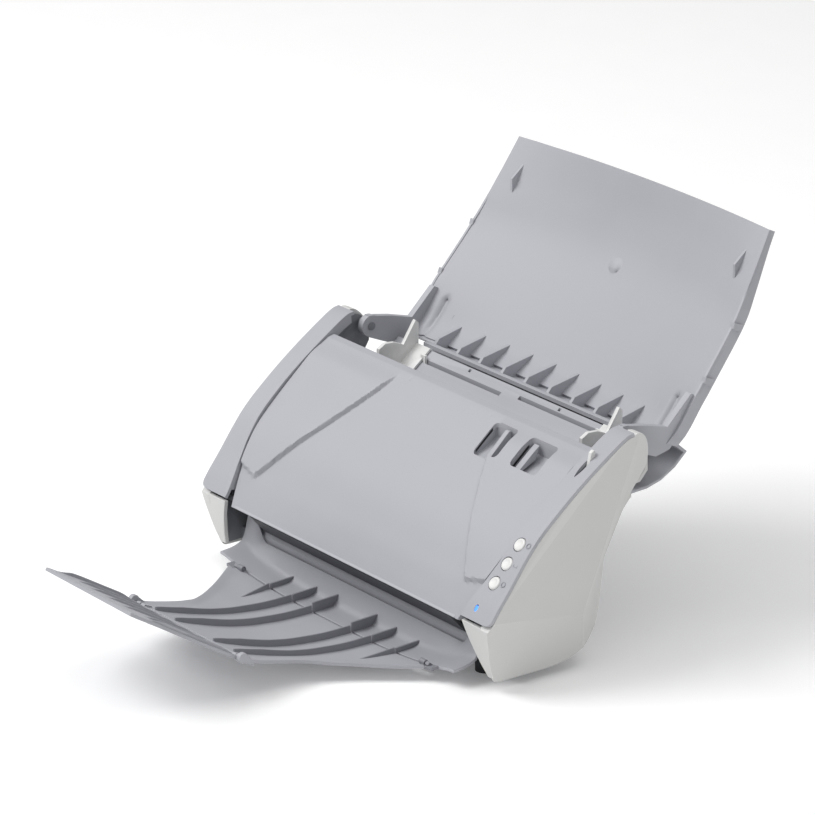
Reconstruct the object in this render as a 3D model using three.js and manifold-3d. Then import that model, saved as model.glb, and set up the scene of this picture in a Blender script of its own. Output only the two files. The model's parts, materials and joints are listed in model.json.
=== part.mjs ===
// Sheet fed document scanner, trays open. Millimetres, +Z up, -Y is the front,
// X is the width. The dimensions below are measured from the middle of the base; the last
// step moves the origin to the middle of the overall footprint.
import * as THREE from "three";
import { mergeVertices } from "three/addons/utils/BufferGeometryUtils.js";
import Module from "manifold-3d";

const wasm = await Module();
wasm.setup();

// ---- driving dimensions -------------------------------------------------
const BODY_HALF = 162;        // half width over the side covers
const PLATE_IN = 149;         // inner face of the chassis side plates
const PLATE_OUT = 152;
const GUIDE_HALF = 126;       // half width of the lower paper guide
// front cover half width at several depths, y then half width
const COVER_EDGE = [[-64, 124], [-57, 127.5], [-50, 132], [-41, 137], [-30, 140.6], [-18, 142.6],
  [10, 143.6], [70, 143.8]];
const SKIN = 2.6;             // plastic wall
const GAP = 0.3;              // running gap between separate pieces
const TRAY_PIVOT = [72, 142]; // feed tray hinge axis, y z
const COVER_PIVOT = [-49, 41];
const OUT_PIVOT = [-66.8, 3.7];
const EXT_PIVOT = [-183.6, 21.3];
const LATCH_PIVOT = [15.2, 118.2];
const ROLL_LOW = 6;           // entry and exit roller radius
const ROLL_FEED = 8;
const BUTTON_YZ = [[-23, 92.5], [-33.5, 78.9], [-44, 65.3]];
const BUTTON_X = 149;
const GUIDE_WALL = 110;       // inner face of the page guides

// side profiles, y z, from the front bottom to the rear top
const STRIP = [[-59, 45], [-52, 55], [-43, 66.5], [-23, 92.5], [-3.5, 110.5], [22, 130], [52, 149.6],
  [62, 153]];
const COVER = [[-57.5, 39.5], [-51, 50], [-41, 64], [-19.5, 89.5], [17, 121.5], [43, 142.5]];
const PATH = [[-38, 17], [20, 75], [67, 110.5], [93, 131]];
const REAR = [[23, 4.5], [35, 9], [42, 17], [45, 28], [45, 64], [59.5, 88], [71, 101], [92, 103],
  [98.5, 110], [98, 125.5]];

// ---- helpers ------------------------------------------------------------
function toManifold(geometry) {
  const g = geometry.clone();
  g.deleteAttribute("normal");
  g.deleteAttribute("uv");
  const m = mergeVertices(g, 1e-5);
  const vertProperties = new Float32Array(m.attributes.position.array);
  const triVerts = new Uint32Array(m.index.array);
  return new wasm.Manifold(new wasm.Mesh({ numProp: 3, vertProperties, triVerts }));
}

function toGeometry(solid) {
  const mesh = solid.getMesh();
  const g = new THREE.BufferGeometry();
  const p = new Float32Array(mesh.vertProperties);
  g.setAttribute("position", new THREE.BufferAttribute(p, 3));
  g.setIndex(new THREE.BufferAttribute(new Uint32Array(mesh.triVerts), 1));
  g.computeVertexNormals();
  return g;
}

// a block between two corners
function block(x0, x1, y0, y1, z0, z1) {
  const g = new THREE.BoxGeometry(x1 - x0, y1 - y0, z1 - z0);
  g.translate((x0 + x1) / 2, (y0 + y1) / 2, (z0 + z1) / 2);
  return toManifold(g);
}

function areaOf(points) {
  let a = 0;
  points.forEach((p, i) => {
    const q = points[(i + 1) % points.length];
    a += p[0] * q[1] - q[0] * p[1];
  });
  return a;
}

// a y z outline pushed along X
function slab(points, x0, x1) {
  const ring = areaOf(points) < 0 ? points.slice().reverse() : points;
  const shape = new THREE.Shape(ring.map((p) => new THREE.Vector2(p[0], p[1])));
  const g = new THREE.ExtrudeGeometry(shape, { depth: x1 - x0, bevelEnabled: false });
  const basis = new THREE.Matrix4().makeBasis(
    new THREE.Vector3(0, 1, 0), new THREE.Vector3(0, 0, 1), new THREE.Vector3(1, 0, 0));
  g.applyMatrix4(basis);
  g.translate(x0, 0, 0);
  return toManifold(g);
}

// an x y outline pushed along Z
function plan(points, z0, z1) {
  const ring = areaOf(points) < 0 ? points.slice().reverse() : points;
  const shape = new THREE.Shape(ring.map((p) => new THREE.Vector2(p[0], p[1])));
  const g = new THREE.ExtrudeGeometry(shape, { depth: z1 - z0, bevelEnabled: false });
  g.translate(0, 0, z0);
  return toManifold(g);
}

// a round bar along X
function rod(radius, x0, x1, y, z, sides = 20) {
  const g = new THREE.CylinderGeometry(radius, radius, x1 - x0, sides);
  g.rotateZ(Math.PI / 2);
  g.translate((x0 + x1) / 2, y, z);
  return toManifold(g);
}

// a round bar standing along a direction in the y z plane
function stub(radius, length, x, at, dir, sides = 20) {
  const g = new THREE.CylinderGeometry(radius, radius, length, sides);
  const q = new THREE.Quaternion().setFromUnitVectors(
    new THREE.Vector3(0, 1, 0), new THREE.Vector3(0, dir[0], dir[1]).normalize());
  g.applyQuaternion(q);
  g.translate(x, at[0], at[1]);
  return toManifold(g);
}

// unit normals of an open y z line, pointing left of its direction
function shifted(line, d) {
  const normals = [];
  for (let i = 0; i + 1 < line.length; i += 1) {
    const dy = line[i + 1][0] - line[i][0];
    const dz = line[i + 1][1] - line[i][1];
    const l = Math.hypot(dy, dz);
    normals.push([-dz / l, dy / l]);
  }
  return line.map((p, i) => {
    const a = normals[Math.max(0, i - 1)];
    const b = normals[Math.min(normals.length - 1, i)];
    const s = 1 + a[0] * b[0] + a[1] * b[1];
    return [p[0] + (d * (a[0] + b[0])) / s, p[1] + (d * (a[1] + b[1])) / s];
  });
}

// the band between a line shifted by a and the same line shifted by b
function band(line, a, b) {
  return shifted(line, a).concat(shifted(line, b).reverse());
}

function unite(parts) {
  return parts.reduce((sum, part) => sum.add(part));
}

function cut(solid, tools) {
  return tools.reduce((rest, tool) => rest.subtract(tool), solid);
}

function mirrorX(points) {
  return points.map((p) => [-p[0], p[1]]);
}

// point on the paper path at a given y, with the unit normal pointing up
function pathAt(y) {
  for (let i = 0; i + 1 < PATH.length; i += 1) {
    const a = PATH[i];
    const b = PATH[i + 1];
    if (y <= b[0]) {
      const t = (y - a[0]) / (b[0] - a[0]);
      const l = Math.hypot(b[0] - a[0], b[1] - a[1]);
      const n = [-(b[1] - a[1]) / l, (b[0] - a[0]) / l];
      return { p: [y, a[1] + t * (b[1] - a[1])], n };
    }
  }
  return null;
}

function offPath(y, d) {
  const { p, n } = pathAt(y);
  return [p[0] + n[0] * d, p[1] + n[1] * d];
}

// ---- finishes -----------------------------------------------------------
const GREY = { color: "#b9bbc2", roughness: 0.5, metalness: 0 };
const PALE = { color: "#cfcfcb", roughness: 0.45, metalness: 0 };
const WHITE = { color: "#e6e7e8", roughness: 0.4, metalness: 0 };
const DARK = { color: "#3a3d42", roughness: 0.6, metalness: 0 };
const RUBBER = { color: "#23262b", roughness: 0.85, metalness: 0 };
const STEEL = { color: "#a9adb3", roughness: 0.3, metalness: 0.9 };
const GLASS = { color: "#9fb3bd", roughness: 0.05, metalness: 0 };
const BOARD = { color: "#2f6b46", roughness: 0.6, metalness: 0 };
const TIN = { color: "#8e9298", roughness: 0.35, metalness: 0.8 };
const BRASS = { color: "#b9a06a", roughness: 0.35, metalness: 0.8 };
const BLUE = { color: "#2b6fe0", roughness: 0.2, metalness: 0 };

const group = new THREE.Group();
group.name = "document_scanner";

function put(name, solid, finish) {
  const mesh = new THREE.Mesh(toGeometry(solid), new THREE.MeshStandardMaterial(finish));
  mesh.name = name;
  group.add(mesh);
}

// plan outline of the front cover, grown by a margin
function coverPlan(grow) {
  const right = COVER_EDGE.map((p) => [p[1] + grow, p[0]]);
  return plan(right.concat(mirrorX(right).reverse()), 0, 200);
}

// the space the cover sweeps about its hinge: radius from the axis, then half width
const COVER_SWEEP = [[0, 131.5], [9.2, 131.5], [10.4, 132.1], [24.4, 137], [40.7, 140.6], [58.7, 142.6],
  [90, 143.7], [170, 143.8]];

function coverSweep(grow) {
  const half = COVER_SWEEP.map((p) => new THREE.Vector2(p[0], p[1] + grow));
  const other = COVER_SWEEP.map((p) => new THREE.Vector2(p[0], -p[1] - grow));
  const g = new THREE.LatheGeometry(other.concat(half.reverse()), 48);
  g.rotateZ(-Math.PI / 2);
  g.translate(0, COVER_PIVOT[0], COVER_PIVOT[1]);
  return toManifold(g);
}

// a large block filling the far side of a plane
function beyond(at, normal) {
  const g = new THREE.BoxGeometry(400, 400, 80);
  g.translate(0, 0, 40);
  const n = new THREE.Vector3(...normal).normalize();
  g.applyQuaternion(new THREE.Quaternion().setFromUnitVectors(new THREE.Vector3(0, 0, 1), n));
  g.translate(...at);
  return toManifold(g);
}

// ---- base ---------------------------------------------------------------
const SIDE_OUTLINE = [[-48, 3], [-46, 0], [-2, 0], [8, 1.2], [19, 4.5], [30, 11], [36, 19], [39.5, 28],
  [39, 70], [55, 97], [64, 109], [77, 120], [80.5, 126], [80.5, 131], [79, 138], [76, 145], [70, 151.5]];
const UNDER_STRIP = shifted(STRIP, -SKIN - GAP);
const SIDE_FRONT = [[-59, 42], [-58.5, 30], [-55, 14]];
const CAVITY = [[-52, 40], [35, 40], [35, 72], [51, 99], [60, 111], [60, 140], [52, 143], [42, 137],
  [17, 120],
  [-8, 100], [-28, 78], [-47, 53]];
const CONTROL_POCKET = slab([[-57, 45], [-53, 57], [-43, 70], [-23, 96], [-10, 108], [0, 98], [-28, 62],
  [-44, 44]],
  134, 157.5);
const SELECTOR_POCKET = slab([[16, 112], [40, 122], [46, 150], [16, 132]], 146.5, 156);

function sideCover(sign) {
  const frontWall = [[-59, 42], [-58.5, 30], [-55, 14], [-48, 3], [-46.5, 4.2], [-52.6, 15], [-55.6, 30],
    [-56, 42]];
  let body = slab(sideOutline(), PLATE_OUT + GAP, BODY_HALF).add(slab(frontWall, 133, PLATE_OUT + 3));
  body = body.subtract(slab(CAVITY, PLATE_OUT, BODY_HALF - 3));
  // below the waist line the flank leans in, and the rear corner is faceted
  body = body.subtract(beyond([BODY_HALF, -59, 47], [0.981, -0.028, -0.19]));
  body = body.subtract(beyond([BODY_HALF - 1, 38, 72], [0.939, 0.32, -0.129]));
  if (sign > 0) return cut(body, [CONTROL_POCKET, SELECTOR_POCKET]);
  return body.mirror([1, 0, 0]);
}

function sideOutline() {
  return SIDE_OUTLINE.concat(UNDER_STRIP.slice().reverse(), SIDE_FRONT);
}

put("side_cover_right", sideCover(1), PALE);
put("side_cover_left", sideCover(-1), PALE);

function trimStrip(sign) {
  const half = block(0, BODY_HALF, -64, 70, 0, 200);
  const skin = cut(slab(band(STRIP, 0, -SKIN), 0, BODY_HALF),
    [coverPlan(0.6), coverSweep(0.5)]).intersect(half);
  const lining = slab(band(STRIP, -0.5, -9), 0, PLATE_IN - GAP).subtract(coverPlan(0.6))
    .subtract(coverSweep(0.5)).intersect(coverPlan(3.4)).subtract(block(0, 200, -70, -46, 0, 200));
  const body = skin.add(lining);
  return sign > 0 ? body : body.mirror([1, 0, 0]);
}

function buttonWell(i, radius) {
  return stub(radius, 30, BUTTON_X, BUTTON_YZ[i], [-0.74, 0.67], 20);
}

put("trim_strip_left", trimStrip(-1), GREY);
const panelCuts = [0, 1, 2].map((i) => buttonWell(i, 5.9));
panelCuts.push(slab([[20, 100], [38, 100], [38, 170], [20, 170]], 149.4, 153.6));
panelCuts.push(block(139.6, 146.4, -56, -51, 20, 80));
put("control_panel", cut(trimStrip(1), panelCuts), GREY);

const FEED = offPath(37, -ROLL_FEED + 0.5);
const ENTRY = offPath(14, -ROLL_LOW + 0.5);
const EXIT = offPath(-26, -ROLL_LOW + 0.5);

// chassis: floor plate, two side plates and cross rails in one casting
function chassis() {
  const floor = block(-PLATE_OUT, PLATE_OUT, -33, 20, 3.2, 6);
  const sideLine = [[-44, 3.2], [18, 5.2], [28, 12], [37, 28], [37, 71], [53, 98.5], [62, 110.5],
    [75, 120.5], [79, 127],
    [79, 132], [77, 140], [72, 147], [64, 150]];
  const edge = shifted(STRIP, -SKIN - GAP - 0.3).reverse().slice(1);
  const plate = sideLine.concat(edge.slice(0, -1), [[-53, 42], [-52, 20]]);
  const right = slab(plate, PLATE_IN, PLATE_OUT);
  const left = slab(plate, -PLATE_OUT, -PLATE_IN);
  const rail = block(-PLATE_IN - 1, PLATE_IN + 1, 9, 13, 5, 9);
  const pinL = rod(3, -PLATE_IN - 1, -136, TRAY_PIVOT[0], TRAY_PIVOT[1], 16);
  const pinR = rod(3, 136, PLATE_IN + 1, TRAY_PIVOT[0], TRAY_PIVOT[1], 16);
  const sill = block(-PLATE_IN - 1, PLATE_IN + 1, -33, -30.5, 5, 12);
  const coverPins = [rod(2.5, -PLATE_IN - 1, -121, COVER_PIVOT[0], COVER_PIVOT[1], 16),
    rod(2.5, 121, PLATE_IN + 1, COVER_PIVOT[0], COVER_PIVOT[1], 16)];
  const body = unite([floor, right, left, rail, sill, pinL, pinR].concat(coverPins));
  const bosses = [FEED, ENTRY, EXIT].flatMap((c) => [rod(5, PLATE_IN, PLATE_OUT, c[0], c[1], 16),
    rod(5, -PLATE_OUT, -PLATE_IN, c[0], c[1], 16)]);
  const bores = [FEED, ENTRY, EXIT].map((c) => rod(2.6, -160, 160, c[0], c[1], 16));
  return cut(unite([body].concat(bosses)), [CONTROL_POCKET, SELECTOR_POCKET].concat(bores));
}
put("chassis", chassis(), DARK);

// lower paper guide: the bed seen behind the cover and the slope below it
function lowerGuide() {
  const sheet = band(PATH, 0, -3.4);
  let solid = slab(sheet, -GUIDE_HALF, GUIDE_HALF);
  const wingR = slab(band([[62, 106.7], [67, 110.5], [93, 131]], 0, -3.4), GUIDE_HALF - 1, 133);
  const wingL = slab(band([[62, 106.7], [67, 110.5], [93, 131]], 0, -3.4), -133, -GUIDE_HALF + 1);
  solid = unite([solid, wingL, wingR]);
  const lip = slab([[-38, 17], [-35.6, 14.6], [-35.6, 6.6], [-38, 6.6]], -118, 118);
  solid = solid.add(lip);
  const windows = [
    rod(ROLL_FEED + 1, -27, 27, FEED[0], FEED[1], 24),
    rod(3.1, -140, 140, ENTRY[0], ENTRY[1], 16),
    rod(3.1, -140, 140, EXIT[0], EXIT[1], 16),
    block(-140, 140, 93.2, 99, 120, 140),
    rod(ROLL_LOW + 1, -87, -43, ENTRY[0], ENTRY[1], 20),
    rod(ROLL_LOW + 1, 43, 87, ENTRY[0], ENTRY[1], 20),
    rod(ROLL_LOW + 1, -87, -43, EXIT[0], EXIT[1], 20),
    rod(ROLL_LOW + 1, 43, 87, EXIT[0], EXIT[1], 20),
    slab([offPath(-15, 1), offPath(3, 1), offPath(3, -5), offPath(-15, -5)], -112, 112),
    slab([[84.5, 130], [87, 130], [87, 110], [84.5, 110]], -97.4, -8.6),
    slab([[87, 130], [89.5, 130], [89.5, 110], [87, 110]], 8.6, 97.4),
    block(-50.4, -47.8, 90.2, 92.2, 118, 140),
    block(47.8, 50.4, 90.2, 92.2, 118, 140),
  ];
  return cut(solid, windows);
}
put("lower_guide", lowerGuide(), GREY);

function sensorBar(y, sign) {
  const a = offPath(y - 6, sign * 1.4);
  const b = offPath(y + 6, sign * 1.4);
  const c = offPath(y + 6, sign * 13);
  const d = offPath(y - 6, sign * 13);
  return slab([a, b, c, d], -110, 110);
}
put("image_sensor_lower", sensorBar(-6, -1), DARK);
put("scan_glass_lower", slab([offPath(-13.5, 0), offPath(1.5, 0), offPath(1.5, -1.1), offPath(-13.5, -1.1)],
  -111, 111), GLASS);

// rear cover with two openings for the power and data sockets
function rearCover() {
  const skin = slab(band(REAR, 0, 3), -PLATE_IN + GAP, PLATE_IN - GAP);
  return cut(skin, [block(84, 94, 35, 55, 30, 40), block(108, 121, 35, 55, 29, 41),
    block(134, 160, 72, 110, 90, 130), block(-160, -134, 72, 110, 90, 130)]);
}
put("rear_cover", rearCover(), PALE);

const INLET_BORE = stub(3.1, 9, 89, [41.5, 35], [1, 0], 16);
put("power_inlet", block(84.4, 93.6, 33, 46, 30.4, 39.6).subtract(INLET_BORE), DARK);
put("usb_socket", block(108.4, 120.6, 33, 46, 29.4, 40.6).subtract(block(110, 119, 37, 47, 31, 39)), TIN);
put("main_board", block(60, 138, 27, 28.6, 16, 62), BOARD);
put("button_board", slab(band([[-44, 65.3], [-23, 92.5]], -6, -7.6), 146.9, 156), BOARD);

// drive: motor, its pulley, three roller pulleys and the belt round them
const MOTOR = [14, 24];
put("drive_motor", rod(14, -118, -84, MOTOR[0], MOTOR[1], 24).add(rod(2, -127, -117, MOTOR[0], MOTOR[1],
  12)), TIN);
// the motor pulley carries a small flywheel disc behind the belt
const PULLEY = rod(4, -136, -119.8, MOTOR[0], MOTOR[1], 20).add(rod(11.5, -127, -119.8, MOTOR[0], MOTOR[1],
  32));
put("motor_pulley", PULLEY.subtract(rod(2.3, -128, -119, MOTOR[0], MOTOR[1], 12)), BRASS);

function shaftWithPulley(at, radius) {
  const bar = rod(2.5, -151, 151, at[0], at[1], 16);
  return bar.add(rod(radius, -136, -128, at[0], at[1], 20));
}
put("feed_shaft", shaftWithPulley(FEED, 4.5), STEEL);
put("entry_shaft", shaftWithPulley(ENTRY, 4.5), STEEL);
put("exit_shaft", shaftWithPulley(EXIT, 4.5), STEEL);

function tyre(radius, x0, x1, at, sides = 24) {
  return rod(radius, x0, x1, at[0], at[1], sides).subtract(rod(2.8, x0 - 1, x1 + 1, at[0], at[1], 16));
}
put("feed_tyre", tyre(ROLL_FEED, -26, 26, FEED), RUBBER);
put("entry_tyre_left", tyre(ROLL_LOW, -85, -45, ENTRY), RUBBER);
put("entry_tyre_right", tyre(ROLL_LOW, 45, 85, ENTRY), RUBBER);
put("exit_tyre_left", tyre(ROLL_LOW, -85, -45, EXIT), RUBBER);
put("exit_tyre_right", tyre(ROLL_LOW, 45, 85, EXIT), RUBBER);

// the belt follows the outer hull of its pulleys
function hull(points) {
  const sorted = points.slice().sort((p, q) => p[0] - q[0] || p[1] - q[1]);
  const half = (list) => {
    const out = [];
    list.forEach((p) => {
      while (out.length > 1) {
        const a = out[out.length - 2];
        const b = out[out.length - 1];
        const turn = (b[0] - a[0]) * (p[1] - a[1]) - (b[1] - a[1]) * (p[0] - a[0]);
        if (turn > 0) break;
        out.pop();
      }
      out.push(p);
    });
    out.pop();
    return out;
  };
  return half(sorted).concat(half(sorted.slice().reverse()));
}

function beltLoop(extra) {
  const wheels = [[MOTOR, 4], [FEED, 4.5], [ENTRY, 4.5], [EXIT, 4.5]];
  const points = [];
  wheels.forEach(([c, r]) => {
    for (let i = 0; i < 24; i += 1) {
      const a = (i * Math.PI) / 12;
      points.push([c[0] + (r + extra) * Math.cos(a), c[1] + (r + extra) * Math.sin(a)]);
    }
  });
  return hull(points);
}
put("drive_belt", slab(beltLoop(1.7), -135, -129).subtract(slab(beltLoop(0.4), -136, -128)), RUBBER);

// ---- front cover --------------------------------------------------------
const RECESS_X = [[53, 78], [92, 120]];

function coverShell() {
  const area = coverPlan(0).intersect(coverSweep(0));
  const skin = slab(band(COVER, 0, -SKIN), -150, 150).intersect(area);
  // side wings stand a little proud of the middle field
  const wingOuter = 200;
  const wingR = plan([[58, 44], [70, 12], [100, -26], [119, -44], [wingOuter, -44], [wingOuter, 44]], 0, 200);
  const proud = slab(band(COVER, 1.2, -1), -150, 150).intersect(area);
  const wings = proud.intersect(wingR).add(proud.intersect(wingR.mirror([1, 0, 0])));
  const lip = slab([[43, 141.5], [46.5, 137.2], [46.5, 132], [43.5, 132], [40, 137.5]], -141, 141);
  const skirts = [-1, 1].map((s) => slab(
    band(COVER.slice(1), -1, -16), s > 0 ? 121.5 : -124, s > 0 ? 124 : -121.5));
  const foot = slab([[-58, 40], [-54.6, 38], [-44, 35.6], [-44, 38.2], [-53, 40.4], [-54.5, 43]], -124, 124);
  const ears = [-1, 1].map((s) => rod(6, s > 0 ? 116 : -120.6, s > 0 ? 120.6 : -116, ...COVER_PIVOT, 20));
  const arms = [-1, 1].map((s) => slab([[-54, 36.5], [-46, 36.5], [-40, 52], [-38, 66], [-41, 64], [-52, 50]],
    s > 0 ? 116 : -124, s > 0 ? 124 : -116));
  let solid = unite([skin, wings, lip, foot].concat(skirts, ears, arms));
  const bores = rod(2.6, -150, -115, ...COVER_PIVOT, 16).add(rod(2.6, 115, 150, ...COVER_PIVOT, 16));
  const line = [[8, 113.6], [17, 121.5], [37, 137.6]];
  const pockets = RECESS_X.map(([a, b]) => slab(band(line, -0.5, -10.5), a - 2, b + 2));
  const scoop = [[12, 121], [12, 114.4], [29.5, 121.2], [33.5, 125], [33.5, 142], [12, 142]];
  const wells = RECESS_X.map(([a, b]) => slab(scoop, a, b));
  const rib = slab([[13, 113], [30, 120], [32.6, 133.6], [27, 129.4], [13, 117.2]], 66.5, 70.5);
  solid = solid.subtract(bores).add(unite(pockets));
  return cut(solid, wells).add(rib);
}
put("front_cover", coverShell(), GREY);

// cover latch lever lying in the right finger well
put("cover_latch", slab([[14.6, 119], [16, 117.4], [28.6, 123.6], [31.8, 132.8], [27, 129.2]], 96, 101)
  .add(rod(1.3, 96, 101, LATCH_PIVOT[0], LATCH_PIVOT[1], 12)), GREY);

// inner cover: upper paper guide with ribs, carries the upper sensor and rollers
function innerCover() {
  const line = [[-30, 25], [20, 75], [54, 100.7]];
  const sheet = slab(band(line, 1.6, 5), -119, 119);
  const cheeks = [-1, 1].map((q) => slab([offPath(-29, 2), offPath(20, 2), offPath(50, 2), [44, 119.5],
    [22, 106], [-18, 72]],
    q > 0 ? 116.5 : -119, q > 0 ? 119 : -116.5));
  const lip = slab([[-52.2, 35.4], [-38.8, 20.8], [-31, 27], [-32.5, 29.5], [-38.8, 24.4], [-49.6, 36.2]],
    -113, 113);
  const solid = unite([sheet, lip].concat(cheeks));
  return cut(solid, [
    rod(8.8, -21, 21, RETARD[0], RETARD[1], 24),
    rod(PINCH + 0.8, -87, -43, PINCH_IN[0], PINCH_IN[1], 20),
    rod(PINCH + 0.8, 43, 87, PINCH_IN[0], PINCH_IN[1], 20),
    rod(PINCH + 0.8, -87, -43, PINCH_OUT[0], PINCH_OUT[1], 20),
    rod(PINCH + 0.8, 43, 87, PINCH_OUT[0], PINCH_OUT[1], 20),
    slab([offPath(-14, 0), offPath(2, 0), offPath(2, 7), offPath(-14, 7)], -112, 112),
    rod(2.1, -118, 118, RETARD[0], RETARD[1], 12),
    rod(2.1, -118, 118, PINCH_IN[0], PINCH_IN[1], 12),
    rod(2.1, -118, 118, PINCH_OUT[0], PINCH_OUT[1], 12),
  ]);
}
const PINCH = 5;
const RETARD = offPath(37, 8 + 0.9);
const PINCH_IN = offPath(14, PINCH + 0.9);
const PINCH_OUT = offPath(-24, PINCH + 0.9);
put("inner_cover", innerCover(), DARK);
put("image_sensor_upper", slab([offPath(-12, 3.2), offPath(0, 3.2), offPath(0, 15), offPath(-12, 15)], -110,
  110), DARK);
put("scan_glass_upper", slab([offPath(-13.5, 1.7), offPath(1.5, 1.7), offPath(1.5, 2.8), offPath(-13.5, 2.8)],
  -111, 111), GLASS);

function axleWith(at, radius, spans) {
  return spans.reduce((sum, [a, b]) => sum.add(rod(radius, a, b, at[0], at[1], 20)),
    rod(2, -117.6, 117.6, at[0], at[1], 12));
}
put("retard_roller", axleWith(RETARD, 8, [[-20, 20]]), RUBBER);
put("pinch_roller_in", axleWith(PINCH_IN, PINCH, [[-85, -45], [45, 85]]), RUBBER);
put("pinch_roller_out", axleWith(PINCH_OUT, PINCH, [[-85, -45], [45, 85]]), RUBBER);

// ---- feed tray ----------------------------------------------------------
const TRAY_MID = [[93.8, 134.6], [103.5, 132.8], [113.5, 127.8], [124, 137.6], [150, 163], [182, 200],
  [198, 231], [207, 260]];
const TRAY_ARM = [[113, 131], [121, 140], [134, 158], [167, 198], [182, 222], [205, 257.5]];

// an x z outline pushed along Y
function front(points, y0, y1) {
  const ring = areaOf(points) < 0 ? points.slice().reverse() : points;
  const shape = new THREE.Shape(ring.map((p) => new THREE.Vector2(p[0], p[1])));
  const g = new THREE.ExtrudeGeometry(shape, { depth: y1 - y0, bevelEnabled: false });
  g.rotateX(Math.PI / 2);
  g.translate(0, y1, 0);
  return toManifold(g);
}

function trayOutline(inset) {
  const half = [[136, 100], [144.3, 128], [144.3, 160], [141.3, 198], [133.7, 262]];
  const right = half.map((p) => [p[0] - inset, p[1]]);
  return right.concat(mirrorX(right).reverse());
}

function feedTray() {
  const mid = slab(band(TRAY_MID, 0, -3), -119, 119);
  const arms = slab(band(TRAY_ARM, 0, -3), -150, 150).subtract(block(-117, 117, 90, 215, 100, 300));
  const webOutline = TRAY_ARM.concat(TRAY_MID.slice(2).reverse().map((p) => [p[0] + 1, p[1] - 1]));
  const webs = [slab(webOutline, 117, 119.5), slab(webOutline, -119.5, -117)];
  const flangeBand = slab(band(TRAY_ARM.slice(0, 5), -1, -10), -150, 150);
  const flange = flangeBand.subtract(front(trayOutline(2.4), 90, 220));
  const outline = front(trayOutline(0), 80, 230);
  const ribs = [];
  for (let i = -4; i <= 4; i += 1) {
    ribs.push(slab([[103.5, 132.8], [113.5, 126.5], [125, 137.8]], i * 25 - 1.4, i * 25 + 1.4));
  }
  const fins = [-1, 1].map((q) => slab([[186, 226], [199, 240], [197, 244], [186, 237], [183, 226]],
    q * 118.6 - 1.2, q * 118.6 + 1.2));
  const ears = [-1, 1].map((q) => {
    const a = q > 0 ? 136.8 : -142.2;
    const b = q > 0 ? 142.2 : -136.8;
    const arm = slab([[70, 134], [98, 122], [116, 127], [134, 157], [128, 160], [108, 141], [70, 150]], a, b);
    return arm.add(rod(8, a, b, TRAY_PIVOT[0], TRAY_PIVOT[1], 24));
  });
  let solid = unite([mid, arms].concat(webs, [flange], ribs, fins)).intersect(outline);
  solid = unite([solid].concat(ears));
  const bore = rod(3.1, -150, 150, TRAY_PIVOT[0], TRAY_PIVOT[1], 16);
  const notch = [-1, 1].map((q) => rod(27, q > 0 ? 105 : -121, q > 0 ? 121 : -105, TRAY_PIVOT[0],
    TRAY_PIVOT[1], 32));
  return cut(solid, [bore].concat(notch));
}
put("feed_tray", feedTray(), GREY);

const SKIRT = [[82, 98.5], [96, 99], [108, 102], [120, 108.5], [129, 116.5], [119.6, 124.6]];
put("tray_skirt", slab(band(SKIRT, 0.9, -1.3), -136, 136), GREY);

// ---- output tray --------------------------------------------------------
// y, height of the middle, rise of the side edges, half width
const TRAY_ROWS = [[-66.3, -2.6, 6.8, 116], [-70, -2.6, 6.6, 112], [-82, -2.4, 6.2, 103],
  [-93, -1.8, 5.8, 95],
  [-106, -0.4, 5.6, 84], [-118, 1.2, 5, 76], [-130, 3.6, 4.4, 68], [-138, 5.6, 4, 65.5], [-150, 9.2, 3, 63.8],
  [-160, 12.6, 2, 63.6], [-172, 17, 0.8, 63.5], [-180.6, 20.7, 0.2, 63.4]];
const TRAY_SHEET = 2.4;

// fixed output floor in front of the base with its rear wall and side curls
function outputFloor() {
  const wall = [[-38.6, 13.4], [-41, 13.4], [-42, 3], [-45.6, -2.6], [-64.4, -2.6], [-64.4, -5], [-44, -5],
    [-38.6, 0]];
  const floor = slab(wall, -117, 117);
  const curl = [[-38.6, 13.4], [-39.6, 30], [-42, 30], [-44, 16], [-49, 8.6], [-64.4, 6.4], [-64.4, -5],
    [-44, -5], [-38.6, 0]];
  const left = slab(curl, -132, -116);
  const right = slab(curl, 116, 132);
  const ribs = [-71, -45, -22, 22, 45, 71].map((x) => slab([[-42, -3], [-41, 3], [-64, 2.4], [-64, -3]],
    x - 1, x + 1));
  const arms = [-1, 1].map((q) => slab([[-63, -4.6], [-62, -2], [-66.8, 5.6], [-68.6, 3.7], [-64.4, -4.6]],
    q > 0 ? 106.4 : -110, q > 0 ? 110 : -106.4));
  const pins = [-1, 1].map((q) => rod(1.2, q > 0 ? 100.2 : -107, q > 0 ? 107 : -100.2, ...OUT_PIVOT, 12));
  return unite([floor, left, right].concat(ribs, arms, pins));
}
put("output_floor", outputFloor(), GREY);

// a closed sheet under a grid of points, x y z, with the underside straight below
function sheetUnder(rows, depth) {
  const across = rows[0].length;
  const points = rows.flat().concat(rows.flat().map((p) => [p[0], p[1], p[2] - depth]));
  const under = rows.length * across;
  const index = [];
  const quad = (p, q, r, t) => index.push(p, q, r, p, r, t);
  for (let i = 0; i + 1 < rows.length; i += 1) {
    for (let j = 0; j + 1 < across; j += 1) {
      const k = i * across + j;
      quad(k, k + 1, k + across + 1, k + across);
      quad(under + k, under + k + across, under + k + across + 1, under + k + 1);
    }
    const e = i * across;
    quad(e, e + across, under + e + across, under + e);
    quad(e + across - 1, under + e + across - 1, under + e + 2 * across - 1, e + 2 * across - 1);
  }
  for (let j = 0; j + 1 < across; j += 1) {
    const e = (rows.length - 1) * across + j;
    quad(j, under + j, under + j + 1, j + 1);
    quad(e, e + 1, under + e + 1, under + e);
  }
  const g = new THREE.BufferGeometry();
  g.setAttribute("position", new THREE.BufferAttribute(new Float32Array(points.flat()), 3));
  g.setIndex(index);
  return toManifold(g);
}

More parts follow.
